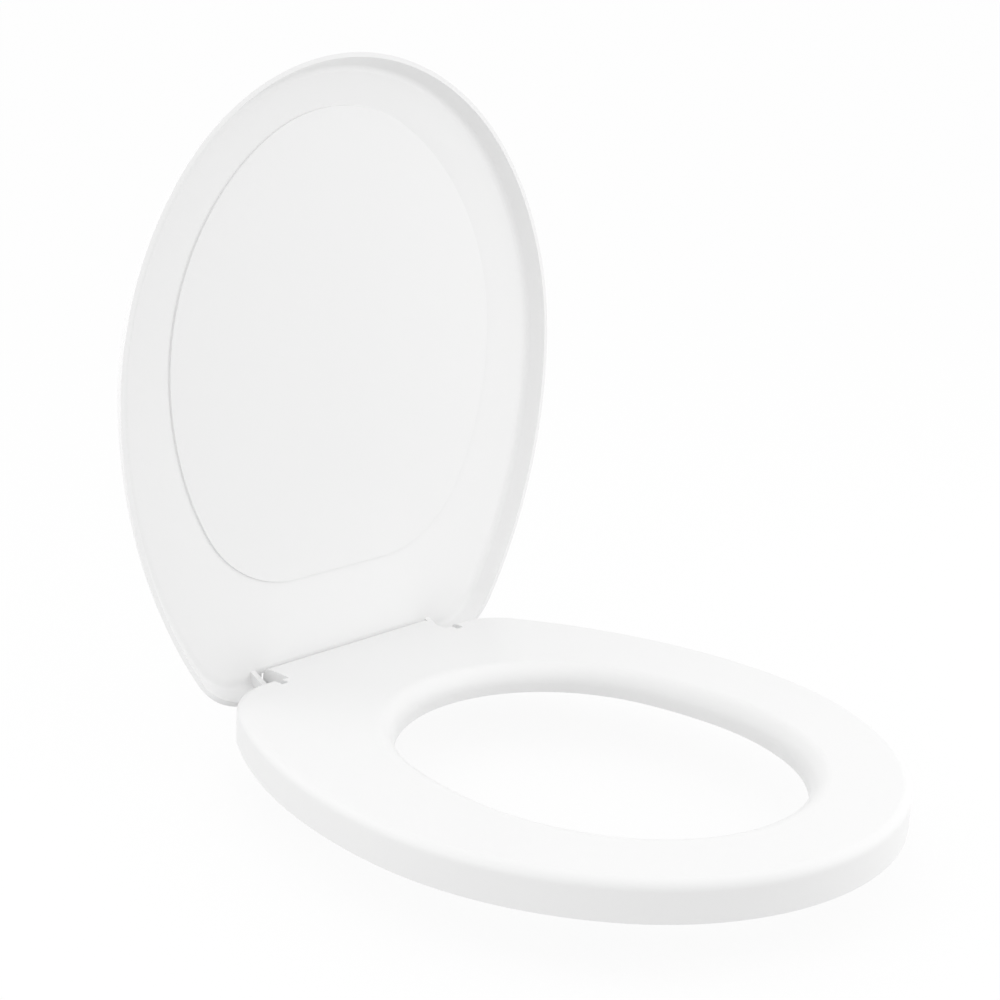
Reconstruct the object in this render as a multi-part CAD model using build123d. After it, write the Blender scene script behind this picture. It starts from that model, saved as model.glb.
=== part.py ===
from build123d import *
import os
from math import atan2, degrees, hypot, sqrt

# A moulded toilet seat with its lid, seat down and lid open.
# Frame: +Z up, the rounded front points to -Y, the hinges are at the back.
# The origin lies on the pan's deck, midway between the two fixing bolts.

# Hinge axis, behind the bolts and below the seat's top
axis_back = 24.0
axis_below_top = 15.0
lid_open_angle = 92.5

# Seat ring, seen from above. From its widest line the front reaches further than
# the half width by the stretch, and the front arc is tighter than it by the taper.
seat_half_width = 185.0
seat_widest_to_axis = 203.0
seat_front_stretch = 15.0
seat_front_taper = 8.0
seat_rear_radius = 320.0
seat_corner_radius = 46.0
seat_edge_to_axis = 4.0

# Opening in the seat, an oval whose widest line lies in front of the seat's
ring_side_width = 71.5
hole_forward = 16.0
hole_front_stretch = 12.0
hole_front_taper = 4.0
hole_rear_stretch = 27.0
hole_rear_taper = 4.0

# Seat section
seat_bottom = 8.0
seat_height = 25.0
seat_wall = 3.0
outer_rounding = 6.0
hole_rounding = 12.0
inner_lip_lift = 6.6
rib_thickness = 2.0
rib_count = 10
rib_height = 13.0

# Tongue at the back of the seat, which carries the hinge pins
tongue_half_width = 74.0
tongue_overhang = 15.0
tongue_drop = 6.5
tongue_rounding = 6.0
tongue_end_block = 14.0

# Lid; its outline runs outside the seat's
lid_overlap = 7.4
lid_wall = 3.0
lid_rim = 3.0
lid_depth = 10.9
lid_flare = 6.0
lid_back = 3.0
lid_rest_gap = 0.6
lid_outer_rounding = 6.0
lid_inner_rounding = 4.0

# Dished ring of the lid and the flat panel in its middle, a little proud of the ring
dish_depth = 4.5
dish_start = 2.0
panel_inset = 41.0
panel_forward = 11.0
panel_front_stretch = 19.0
panel_front_taper = 24.0
panel_rear_radius = 205.0
panel_corner_radius = 88.0
panel_to_axis = 67.0
panel_rise = 1.2
panel_slope = 0.8
merge = 0.3

# Hinge pin, post and lid lug, along the axis from the tongue outwards
pin_radius = 3.0
pin_short_of_lug = 0.4
pin_clearance = 0.05
push_clearance = 0.02
side_gap = 0.5
post_width = 5.0
post_eye_radius = 5.5
lug_width = 4.0
lug_radius = 6.0
lug_reach = 15.0
notch_gap = 0.8

# Post foot, pad and fixings; the grip is the free height left for the pan under the pads
bolt_spacing = 155.0
foot_width = 22.0
foot_thickness = 4.5
foot_to_axis = 8.0
foot_room = 3.0
pad_thickness = 1.5
pan_grip = 6.0
bolt_radius = 4.0
bolt_hole_clearance = 0.25
thread_clearance = 0.05
bolt_head_radius = 6.5
bolt_head_height = 4.0
bolt_slot_width = 1.6
bolt_slot_depth = 1.5
bolt_tail = 1.0
cone_top_radius = 6.5
cone_bottom_radius = 11.0
cone_height = 5.0
cone_below_pan = 1.5
washer_radius = 12.0
washer_thickness = 1.2
nut_radius = 8.0
nut_height = 5.0
wing_span = 36.0
wing_thickness = 3.5
wing_rounding = 1.5

# Buffers between seat and pan
buffer_radius = 10.0
buffer_height = 9.0
buffer_stem_radius = 3.0
buffer_stem_length = 8.0
boss_radius = 7.0
front_buffer_x = 86.0
front_buffer_from_tip = 70.0
rear_buffer_from_side = 61.0
rear_buffer_to_axis = 85.0

# Places worked out from the sizes above
seat_front_reach = seat_half_width + seat_front_stretch
hole_half_width = seat_half_width - ring_side_width
hole_widest_to_axis = seat_widest_to_axis + hole_forward
panel_half_width = seat_half_width - panel_inset
panel_widest_to_axis = seat_widest_to_axis + panel_forward
front_buffer_to_axis = seat_widest_to_axis + seat_front_reach - front_buffer_from_tip
rear_buffer_x = seat_half_width - rear_buffer_from_side
axis_height = seat_bottom + seat_height - axis_below_top
lid_floor_over_axis = axis_below_top + lid_rest_gap
lid_top_over_axis = lid_floor_over_axis + lid_wall
post_start = tongue_half_width + side_gap
lug_start = post_start + post_width + side_gap
notch_end = lug_start + lug_width + 2 * side_gap
notch_depth = lug_reach + notch_gap
post_foot_front = bolt_head_radius + foot_room
post_lean = post_eye_radius * sqrt(0.5)
post_base = pad_thickness + foot_thickness / 2
rear_bottom = pad_thickness + foot_thickness + bolt_head_height + foot_room
post_rise = (rear_bottom - post_base) / (axis_height + post_lean - post_base)
post_front = post_foot_front + post_rise * (axis_back - post_lean - post_foot_front)
post_notch_depth = axis_back - post_front + notch_gap
tongue_corner = hypot(tongue_overhang - tongue_rounding, axis_below_top - tongue_rounding)
tongue_reach = tongue_corner + tongue_rounding
lid_edge_to_axis = sqrt(max(tongue_reach**2 - lid_floor_over_axis**2, 0)) + lid_rest_gap


def arc(x, y, radius, start, sweep):
    return CenterArc((x, y), radius, start, sweep)


def side_radius(half, end_radius, k):
    """Radius of the side arc that touches the widest line and an end arc centred k away from it."""
    return (half * half + k * k - end_radius * end_radius) / (2 * (half - end_radius))


def egg(half, stretch, taper, rear_radius, corner_radius, back, widest):
    """Rounded front, bowed sides and rounded corners on a straight back, all tangent arcs."""
    front_radius = half - taper
    k = stretch + taper
    side = side_radius(half, front_radius, k)
    join = degrees(atan2(-k, side - half))
    rise = back - corner_radius
    corner_x = half - rear_radius + sqrt((rear_radius - corner_radius) ** 2 - rise**2)
    turn = degrees(atan2(rise, corner_x - half + rear_radius))
    edges = [
        arc(0, -k, front_radius, -180 - join, 180 + 2 * join),
        arc(half - side, 0, side, join, -join),
        arc(half - rear_radius, 0, rear_radius, 0, turn),
        arc(corner_x, rise, corner_radius, turn, 90 - turn),
        Line((corner_x, back), (-corner_x, back)),
        arc(-corner_x, rise, corner_radius, 90, 90 - turn),
        arc(rear_radius - half, 0, rear_radius, 180 - turn, turn),
        arc(side - half, 0, side, 180, -join),
    ]
    return Pos(0, -widest) * make_face(edges)


def oval(half, stretch, taper, rear_stretch, rear_taper, widest):
    """Two round ends and four side arcs, all tangent."""
    front_radius = half - taper
    rear_radius = half - rear_taper
    low = stretch + taper
    high = rear_stretch + rear_taper
    side = side_radius(half, front_radius, low)
    back = side_radius(half, rear_radius, high)
    join = degrees(atan2(-low, side - half))
    turn = degrees(atan2(high, back - half))
    edges = [
        arc(0, -low, front_radius, -180 - join, 180 + 2 * join),
        arc(half - side, 0, side, join, -join),
        arc(half - back, 0, back, 0, turn),
        arc(0, high, rear_radius, turn, 180 - 2 * turn),
        arc(back - half, 0, back, 180 - turn, turn),
        arc(side - half, 0, side, 180, -join),
    ]
    return Pos(0, -widest) * make_face(edges)


def seat_face(grow=0.0):
    return egg(
        seat_half_width + grow,
        seat_front_stretch,
        seat_front_taper,
        seat_rear_radius + grow,
        seat_corner_radius + grow,
        seat_widest_to_axis - seat_edge_to_axis + grow,
        seat_widest_to_axis,
    )


def hole_face(grow=0.0):
    return oval(
        hole_half_width + grow,
        hole_front_stretch,
        hole_front_taper,
        hole_rear_stretch,
        hole_rear_taper,
        hole_widest_to_axis,
    )


def lid_face(grow=0.0):
    g = lid_overlap + grow
    return egg(
        seat_half_width + g,
        seat_front_stretch,
        seat_front_taper,
        seat_rear_radius + g,
        seat_corner_radius + g,
        seat_widest_to_axis + lid_back + grow,
        seat_widest_to_axis,
    )


def panel_face(grow=0.0):
    return egg(
        panel_half_width + grow,
        panel_front_stretch,
        panel_front_taper,
        panel_rear_radius + grow,
        panel_corner_radius + grow,
        panel_widest_to_axis - panel_to_axis + grow,
        panel_widest_to_axis,
    )


def raised(face, low, high):
    """A face pushed up from one height to another."""
    return extrude(Pos(0, 0, low) * face, high - low, dir=(0, 0, 1))


def tapered(low_face, low, high_face, high):
    return loft([Pos(0, 0, low) * low_face, Pos(0, 0, high) * high_face], ruled=True)


def box(x0, x1, y0, y1, z0, z1):
    return Pos((x0 + x1) / 2, (y0 + y1) / 2, (z0 + z1) / 2) * Box(x1 - x0, y1 - y0, z1 - z0)


def both_sides(shape):
    return shape + mirror(shape, Plane.YZ)


def rod_x(radius, x0, x1):
    """A round bar along the hinge axis, in the axis's own frame."""
    return Pos((x0 + x1) / 2, 0, 0) * Rot(0, 90, 0) * Cylinder(radius, x1 - x0)


def drum(radius, z0, z1):
    return Pos(0, 0, (z0 + z1) / 2) * Cylinder(radius, z1 - z0)


def top_edges(solid, z):
    return [e for e in solid.edges() if abs(e.bounding_box().min.Z - z) < 1e-4]


# The seat and lid are drawn about the hinge axis, then set down on it
to_axis = Pos(0, axis_back, axis_height)
buffer_places = {
    "front_left": (-front_buffer_x, -front_buffer_to_axis),
    "front_right": (front_buffer_x, -front_buffer_to_axis),
    "rear_left": (-rear_buffer_x, -rear_buffer_to_axis),
    "rear_right": (rear_buffer_x, -rear_buffer_to_axis),
}


def hole_rim(body, z):
    """The top edges that run around the opening."""
    face = [f for f in body.faces() if abs(f.center().Z - z) < 1e-4][0]
    return face.inner_wires()[0].edges()


def seat_cavity(low, high):
    """The hollow under the ring, which keeps a wall around each hinge notch."""
    ring = raised(seat_face(-seat_wall), low, high)
    ring = fillet(top_edges(ring, high), outer_rounding - seat_wall)
    ring -= raised(hole_face(seat_wall), low - 1, high + 1)
    ring = fillet(hole_rim(ring, high), hole_rounding - seat_wall)
    notch_wall = box(
        tongue_half_width - seat_wall,
        notch_end + seat_wall,
        -notch_depth - seat_wall,
        tongue_overhang,
        low - 1,
        high + 1,
    )
    return ring - both_sides(notch_wall)


def seat_ribs(cavity, low, high):
    """Flat webs from the ring's inner wall to its outer wall."""
    ribs = []
    reach = seat_half_width + seat_front_reach
    for n in range(rib_count):
        angle = 360 * (n + 0.5) / rib_count
        web = box(0, reach, -rib_thickness / 2, rib_thickness / 2, low, high)
        ribs.append(Pos(0, -hole_widest_to_axis) * Rot(0, 0, angle) * web & cavity)
    return ribs


def make_seat():
    low = seat_bottom - axis_height
    high = axis_below_top
    ceiling = high - seat_wall
    body = raised(seat_face(), low, high)
    body = fillet(top_edges(body, high), outer_rounding)
    body -= raised(hole_face(), low - 1, high + 1)
    body = fillet(hole_rim(body, high), hole_rounding)
    cavity = seat_cavity(low - 1, ceiling)
    body -= cavity
    body -= raised(hole_face(seat_wall), low - 1, low + inner_lip_lift)

    for rib in seat_ribs(cavity, ceiling - rib_height, ceiling):
        body += rib
    for x, y in buffer_places.values():
        body += Pos(x, y) * drum(boss_radius, buffer_height - axis_height, ceiling)
        hole = drum(
            buffer_stem_radius + push_clearance,
            buffer_height - axis_height - 1,
            buffer_height - axis_height + buffer_stem_length + 1,
        )
        body -= Pos(x, y) * hole

    # The rear of the ring is cut short above the feet and bolt heads
    side = bolt_spacing / 2 + foot_width / 2 + foot_room
    front = -axis_back - foot_width / 2 - foot_room
    rear_cut = box(-side, side, front, tongue_overhang, low - 1, rear_bottom - axis_height)
    body -= rear_cut
    notch = box(tongue_half_width, notch_end, -post_notch_depth, tongue_overhang, low - 1, high + 1)
    notch += box(lug_start - side_gap, notch_end, -notch_depth, tongue_overhang, low - 1, high + 1)
    body -= both_sides(notch)
    return body + make_tongue(high)


def make_tongue(high):
    """A straight bar across the back; its solid ends hold the hinge pins."""
    front = -seat_edge_to_axis - outer_rounding
    bar = box(-tongue_half_width, tongue_half_width, front, tongue_overhang, -tongue_drop, high)
    back_edges = bar.edges().filter_by(Axis.X).group_by(Axis.Y)[-1]
    bar = fillet(back_edges, tongue_rounding)
    inside = tongue_half_width - tongue_end_block
    back = tongue_overhang - seat_wall
    hollow = box(-inside, inside, front - 1, back, -tongue_drop - 1, high - seat_wall)
    inner_edge = hollow.edges().filter_by(Axis.X).group_by(Axis.Z)[-1].sort_by(Axis.Y)[-1]
    hollow = fillet(inner_edge, max(tongue_rounding - seat_wall, 1))
    bar -= hollow
    bore = rod_x(pin_radius + push_clearance, inside - 1, tongue_half_width + 1)
    return bar - both_sides(bore)


def make_lid():
    """Drawn closed, with the rim down, then turned open about the axis."""
    floor, top = lid_floor_over_axis, lid_top_over_axis
    rim = floor - lid_depth
    slope = lid_flare / lid_depth
    shell = tapered(lid_face(), rim, lid_face(-slope * (lid_depth + lid_wall)), top)
    shell = fillet(top_edges(shell, top), lid_outer_rounding)
    inside = tapered(lid_face(-lid_rim), rim, lid_face(-lid_rim - lid_flare), floor)
    inside = fillet(top_edges(inside, floor), lid_inner_rounding)

    # The middle of the lid is dished: it stands proud outside and is hollow inside
    edge = -lid_rim - lid_flare - dish_start
    crown = tapered(lid_face(edge - lid_wall), top - merge, panel_face(lid_wall), top + dish_depth)
    dish = tapered(lid_face(edge), floor - merge, panel_face(), floor + dish_depth)
    panel_low = floor + dish_depth - panel_rise
    panel = tapered(panel_face(-panel_slope), panel_low, panel_face(), top + dish_depth - merge)
    lid = shell - inside + crown - dish + panel

    # The back edge is cut straight over the tongue, so that it swings clear of the tongue's corner
    cut = box(-post_start, post_start, -lid_edge_to_axis, lid_back + 1, rim - 1, top + 1)
    lid -= cut
    over_post = box(post_start, lug_start, -lid_edge_to_axis, lid_back + 1, rim - 1, floor)
    lid = lid - both_sides(over_post) + both_sides(make_lug())
    bore = rod_x(pin_radius + pin_clearance, lug_start - 1, lug_start + lug_width + 1)
    lid -= both_sides(bore)
    return Rot(-lid_open_angle, 0, 0) * lid


def make_lug():
    """A web from the lid's floor to an eye around the hinge axis."""
    root = lid_floor_over_axis + lid_wall / 2
    back = lid_back - lid_flare - lid_wall / 2
    corners = [(-lug_radius, 0), (lug_radius, 0), (back, root), (-lug_reach, root)]
    web = make_face(Polyline(*corners, close=True))
    web += Circle(lug_radius)
    plate = extrude(Plane.YZ * web, lug_width)
    return Pos(lug_start, 0, 0) * plate


def make_pin():
    """Slid outwards from the pocket under the tongue, through the post and into the lug."""
    inner_end = tongue_half_width - tongue_end_block
    return rod_x(pin_radius, inner_end, lug_start + lug_width - pin_short_of_lug)


def foot_outline():
    """A slab with round ends, from in front of the bolt to just in front of the axis."""
    front = -foot_width / 2
    back = axis_back - foot_to_axis
    return Pos(0, (front + back) / 2) * SlotOverall(back - front, foot_width, rotation=90)


def make_post():
    """A foot on the pan and, at its inner side, a web that leans back to the eye on the axis."""
    foot_top = pad_thickness + foot_thickness
    foot = raised(foot_outline(), pad_thickness, foot_top)
    foot -= drum(bolt_radius + bolt_hole_clearance, 0, foot_top + 1)
    corners = [
        (post_foot_front, post_base),
        (axis_back - foot_to_axis, post_base),
        (axis_back + post_lean, axis_height - post_lean),
        (axis_back - post_lean, axis_height + post_lean),
    ]
    web = make_face(Polyline(*corners, close=True))
    web += Pos(axis_back, axis_height) * Circle(post_eye_radius)
    web -= Pos(axis_back, axis_height) * Circle(pin_radius + pin_clearance)
    column = extrude(Plane.YZ * web, post_width)
    return foot + Pos(post_start - bolt_spacing / 2, 0, 0) * column


def make_pad():
    pad = raised(foot_outline(), 0, pad_thickness)
    return pad - drum(bolt_radius + bolt_hole_clearance, -1, pad_thickness + 1)


# Heights of the fixings, from the foot down to the end of the bolt
head_seat = pad_thickness + foot_thickness
cone_low = -pan_grip - cone_below_pan
washer_low = cone_low - washer_thickness
nut_low = washer_low - nut_height
bolt_end = nut_low - bolt_tail


def make_bolt():
    head_top = head_seat + bolt_head_height
    bolt = drum(bolt_radius, bolt_end, head_seat) + drum(bolt_head_radius, head_seat, head_top)
    slot = box(
        -bolt_head_radius,
        bolt_head_radius,
        -bolt_slot_width / 2,
        bolt_slot_width / 2,
        head_top - bolt_slot_depth,
        head_top + 1,
    )
    tip = bolt.edges().group_by(Axis.Z)[0]
    return chamfer(tip, bolt_radius / 4) - slot


def make_cone_washer():
    cone = Pos(0, 0, cone_low + cone_height / 2) * Cone(cone_bottom_radius, cone_top_radius, cone_height)
    return cone - drum(bolt_radius + bolt_hole_clearance, cone_low - 1, cone_low + cone_height + 1)


def make_flat_washer():
    ring = drum(washer_radius, washer_low, cone_low)
    return ring - drum(bolt_radius + bolt_hole_clearance, washer_low - 1, cone_low + 1)


def make_wing_nut():
    hub = drum(nut_radius, nut_low, washer_low)
    wing = box(
        -wing_span / 2,
        wing_span / 2,
        -wing_thickness / 2,
        wing_thickness / 2,
        nut_low,
        washer_low - washer_thickness,
    )
    wing = fillet(wing.edges().filter_by(Axis.Y), wing_rounding)
    return hub + wing - drum(bolt_radius + thread_clearance, nut_low - 1, washer_low + 1)


def make_buffer():
    pad = drum(buffer_radius, 0, buffer_height)
    return pad + drum(buffer_stem_radius, buffer_height, buffer_height + buffer_stem_length)


parts = {"seat": to_axis * make_seat(), "lid": to_axis * make_lid()}
for place, (x, y) in buffer_places.items():
    parts[f"seat_buffer_{place}"] = Pos(x, axis_back + y, 0) * make_buffer()

at_bolt = Pos(bolt_spacing / 2, 0, 0)
right_pieces = {
    "hinge_pin": to_axis * make_pin(),
    "hinge_post": at_bolt * make_post(),
    "foot_pad": at_bolt * make_pad(),
    "fixing_bolt": at_bolt * make_bolt(),
    "cone_washer": at_bolt * make_cone_washer(),
    "flat_washer": at_bolt * make_flat_washer(),
    "wing_nut": at_bolt * make_wing_nut(),
}
for name, shape in right_pieces.items():
    parts[f"{name}_right"] = shape
    parts[f"{name}_left"] = mirror(shape, Plane.YZ)

os.makedirs("parts", exist_ok=True)
for name, shape in parts.items():
    export_step(shape, f"parts/{name}.step")
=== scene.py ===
import math

import bpy
from mathutils import Matrix, Vector


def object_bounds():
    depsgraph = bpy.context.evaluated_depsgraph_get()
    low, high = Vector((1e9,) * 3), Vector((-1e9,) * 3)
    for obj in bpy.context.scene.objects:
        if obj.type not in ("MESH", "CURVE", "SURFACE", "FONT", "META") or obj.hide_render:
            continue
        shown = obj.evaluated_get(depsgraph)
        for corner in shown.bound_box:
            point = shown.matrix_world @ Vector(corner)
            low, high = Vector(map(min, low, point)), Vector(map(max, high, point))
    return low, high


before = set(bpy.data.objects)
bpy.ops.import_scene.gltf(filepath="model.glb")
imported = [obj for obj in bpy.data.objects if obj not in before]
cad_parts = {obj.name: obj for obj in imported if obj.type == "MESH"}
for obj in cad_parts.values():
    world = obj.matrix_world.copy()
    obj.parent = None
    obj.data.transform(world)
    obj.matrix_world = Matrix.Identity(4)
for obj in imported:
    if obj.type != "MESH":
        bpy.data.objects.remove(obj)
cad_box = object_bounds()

# Camera fitted to the outlines of the lid, the ring and the hinge line.
# Angles in degrees, distances in metres, lens and sensor in millimetres.
CAMERA_AZIMUTH = -48.73
CAMERA_ELEVATION = 16.23
CAMERA_ROLL = 3.21
CAMERA_DISTANCE = 1.2707
CAMERA_TARGET = Vector((-0.01156, -0.10472, 0.17014))
CAMERA_LENS = 74.184
CAMERA_SENSOR = 36.0
CAMERA_NEAR = 0.01

# Floor, in metres. The drop below the part leaves room for the lid when it is swung right over.
FLOOR_DROP = 0.0095
FLOOR_HALF = 30.0
FLOOR_BOUNCE = (0.66, 0.66, 0.66, 1.0)  # colour that throws light back on the part
FLOOR_SEEN = (0.95, 0.95, 0.95, 1.0)  # colour that takes the shadow
SHADOW_SHARE = 0.08  # share of FLOOR_SEEN in the white that the camera sees

# Light
WHITE = (1.0, 1.0, 1.0, 1.0)
WHITE_LEVEL = 1.0
SKY_LEVEL = 0.92
LAMP_AIM = (-0.02, -0.12, 0.14)
SEAT_LEFT = (-0.12, -0.18, 0.03)

# The middle band of a noise, which is spread over a material's range
NOISE_LOW = 0.3
NOISE_HIGH = 0.7

# Noise of the moulded materials: clouding of the colour, unevenness of the gloss, skin of the mould
CLOUD_DETAIL = 3.0
GLOSS_PER_CLOUD = 4.0
GLOSS_DETAIL = 4.0
GLOSS_FALLOFF = 0.6
GRAIN_DETAIL = 2.0
GRAIN_STRENGTH = 0.35


def new_nodes(material_or_world):
    """Empties a node tree and returns its nodes and links."""
    material_or_world.use_nodes = True
    tree = material_or_world.node_tree
    tree.nodes.clear()
    return tree.nodes, tree.links


def noise(nodes, links, vector, scale, detail, falloff=0.5):
    """A noise texture on the given coordinates."""
    node = nodes.new("ShaderNodeTexNoise")
    node.inputs["Scale"].default_value = scale
    node.inputs["Detail"].default_value = detail
    node.inputs["Roughness"].default_value = falloff
    links.new(vector, node.inputs["Vector"])
    return node.outputs["Fac"]


def spread(nodes, links, value, low, high):
    """Maps the middle of a noise to a range."""
    node = nodes.new("ShaderNodeMapRange")
    node.inputs["From Min"].default_value = NOISE_LOW
    node.inputs["From Max"].default_value = NOISE_HIGH
    node.inputs["To Min"].default_value = low
    node.inputs["To Max"].default_value = high
    links.new(value, node.inputs["Value"])
    return node.outputs["Result"]


def moulded(name, dark, light, rough, cloud_scale, grain_scale, grain_depth, ior):
    """Moulded plastic or rubber: faint clouding, uneven gloss and the fine skin of the mould."""
    material = bpy.data.materials.new(name)
    nodes, links = new_nodes(material)
    place = nodes.new("ShaderNodeTexCoord").outputs["Object"]
    shader = nodes.new("ShaderNodeBsdfPrincipled")
    shader.inputs["IOR"].default_value = ior
    output = nodes.new("ShaderNodeOutputMaterial")
    links.new(shader.outputs["BSDF"], output.inputs["Surface"])

    ramp = nodes.new("ShaderNodeValToRGB")
    ramp.color_ramp.elements[0].position = NOISE_LOW
    ramp.color_ramp.elements[0].color = (*dark, 1.0)
    ramp.color_ramp.elements[1].position = NOISE_HIGH
    ramp.color_ramp.elements[1].color = (*light, 1.0)
    links.new(noise(nodes, links, place, cloud_scale, CLOUD_DETAIL), ramp.inputs["Fac"])
    links.new(ramp.outputs["Color"], shader.inputs["Base Color"])

    gloss_scale = cloud_scale * GLOSS_PER_CLOUD
    gloss = noise(nodes, links, place, gloss_scale, GLOSS_DETAIL, GLOSS_FALLOFF)
    links.new(spread(nodes, links, gloss, *rough), shader.inputs["Roughness"])

    bump = nodes.new("ShaderNodeBump")
    bump.inputs["Strength"].default_value = GRAIN_STRENGTH
    bump.inputs["Distance"].default_value = grain_depth
    links.new(noise(nodes, links, place, grain_scale, GRAIN_DETAIL), bump.inputs["Height"])
    links.new(bump.outputs["Normal"], shader.inputs["Normal"])
    return material


seat_plastic = moulded(
    "white_gloss_plastic", dark=(0.886, 0.886, 0.885), light=(0.892, 0.892, 0.891),
    rough=(0.29, 0.33), cloud_scale=9.0, grain_scale=240.0, grain_depth=0.00002, ior=1.5)
rubber = moulded(
    "pale_rubber", dark=(0.52, 0.52, 0.51), light=(0.60, 0.60, 0.59),
    rough=(0.62, 0.78), cloud_scale=60.0, grain_scale=1400.0, grain_depth=0.00012, ior=1.52)
nylon = moulded(
    "satin_nylon", dark=(0.78, 0.78, 0.765), light=(0.84, 0.84, 0.83),
    rough=(0.42, 0.56), cloud_scale=45.0, grain_scale=1100.0, grain_depth=0.00008, ior=1.53)


def material_of(node_name):
    """The material that a CAD node takes, from how its name starts."""
    if node_name in ("seat", "lid") or node_name.startswith("hinge_post"):
        return seat_plastic
    if node_name.startswith(("seat_buffer", "foot_pad", "cone_washer")):
        return rubber
    return nylon


for node_name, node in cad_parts.items():
    for slot in node.material_slots:
        slot.material = material_of(node_name)


def seen_directly(nodes, links):
    """1 for rays from the camera and for those that a glossy or clear surface passes on."""
    path = nodes.new("ShaderNodeLightPath")
    first = nodes.new("ShaderNodeMath")
    first.operation = "MAXIMUM"
    links.new(path.outputs["Is Camera Ray"], first.inputs[0])
    links.new(path.outputs["Is Glossy Ray"], first.inputs[1])
    both = nodes.new("ShaderNodeMath")
    both.operation = "MAXIMUM"
    links.new(first.outputs[0], both.inputs[0])
    links.new(path.outputs["Is Transmission Ray"], both.inputs[1])
    return both.outputs[0]


def make_world():
    """Soft even light, seen as plain white."""
    world = bpy.data.worlds.new("studio")
    nodes, links = new_nodes(world)
    light = nodes.new("ShaderNodeBackground")
    light.inputs["Strength"].default_value = SKY_LEVEL
    white = nodes.new("ShaderNodeBackground")
    white.inputs["Strength"].default_value = WHITE_LEVEL
    for shader in (light, white):
        shader.inputs["Color"].default_value = WHITE
    mix = nodes.new("ShaderNodeMixShader")
    links.new(seen_directly(nodes, links), mix.inputs[0])
    links.new(light.outputs[0], mix.inputs[1])
    links.new(white.outputs[0], mix.inputs[2])
    output = nodes.new("ShaderNodeOutputWorld")
    links.new(mix.outputs[0], output.inputs["Surface"])
    bpy.context.scene.world = world


def make_floor(height):
    """A wide pale floor: white to the eye apart from the object's faint shadow."""
    mesh = bpy.data.meshes.new("floor")
    signs = [(-1, -1), (1, -1), (1, 1), (-1, 1)]
    corners = [(x * FLOOR_HALF, y * FLOOR_HALF, height) for x, y in signs]
    mesh.from_pydata(corners, [], [(0, 1, 2, 3)])
    floor = bpy.data.objects.new("floor", mesh)
    bpy.context.scene.collection.objects.link(floor)

    material = bpy.data.materials.new("pale_floor")
    nodes, links = new_nodes(material)
    bounce = nodes.new("ShaderNodeBsdfDiffuse")
    bounce.inputs["Color"].default_value = FLOOR_BOUNCE
    shaded = nodes.new("ShaderNodeBsdfDiffuse")
    shaded.inputs["Color"].default_value = FLOOR_SEEN
    white = nodes.new("ShaderNodeEmission")
    white.inputs["Strength"].default_value = WHITE_LEVEL
    seen = nodes.new("ShaderNodeMixShader")
    seen.inputs[0].default_value = SHADOW_SHARE
    links.new(white.outputs[0], seen.inputs[1])
    links.new(shaded.outputs[0], seen.inputs[2])
    mix = nodes.new("ShaderNodeMixShader")
    links.new(seen_directly(nodes, links), mix.inputs[0])
    links.new(bounce.outputs[0], mix.inputs[1])
    links.new(seen.outputs[0], mix.inputs[2])
    output = nodes.new("ShaderNodeOutputMaterial")
    links.new(mix.outputs[0], output.inputs["Surface"])
    mesh.materials.append(material)


def make_lamp(name, place, aim, size, power):
    """A large soft lamp aimed at a point, kept out of reflections so that low views don't clip."""
    lamp = bpy.data.lights.new(name, "AREA")
    lamp.shape = "DISK"
    lamp.size = size
    lamp.energy = power
    holder = bpy.data.objects.new(name, lamp)
    bpy.context.scene.collection.objects.link(holder)
    holder.location = place
    holder.visible_camera = False
    holder.visible_glossy = False
    direction = Vector(aim) - Vector(place)
    holder.rotation_euler = direction.to_track_quat("-Z", "Y").to_euler()


def make_camera():
    """The camera at the photograph's angle, with its slight roll."""
    turn = math.radians(CAMERA_AZIMUTH)
    rise = math.radians(CAMERA_ELEVATION)
    roll = math.radians(CAMERA_ROLL)
    level = math.cos(rise)
    back = Vector((math.sin(turn) * level, -math.cos(turn) * level, math.sin(rise)))
    right = (-back).cross(Vector((0.0, 0.0, 1.0))).normalized()
    up = back.cross(right)
    tilted_right = right * math.cos(roll) + up * math.sin(roll)
    tilted_up = up * math.cos(roll) - right * math.sin(roll)
    data = bpy.data.cameras.new("camera")
    data.lens = CAMERA_LENS
    data.sensor_width = CAMERA_SENSOR
    data.clip_start = CAMERA_NEAR
    camera = bpy.data.objects.new("camera", data)
    bpy.context.scene.collection.objects.link(camera)
    axes = Matrix((tilted_right, tilted_up, back)).transposed().to_4x4()
    camera.matrix_world = Matrix.Translation(CAMERA_TARGET + back * CAMERA_DISTANCE) @ axes
    bpy.context.scene.camera = camera


make_world()
make_floor(cad_box[0].z - FLOOR_DROP)
make_lamp("left_lamp", place=(-1.3, -0.1, 0.6), aim=LAMP_AIM, size=0.8, power=2.2)
make_lamp("right_lamp", place=(0.9, -1.0, 0.5), aim=LAMP_AIM, size=1.0, power=4.4)
make_lamp("rear_lamp", place=(-0.5, 0.3, 0.5), aim=SEAT_LEFT, size=0.3, power=0.45)
make_camera()

bpy.context.scene.view_settings.view_transform = "Standard"
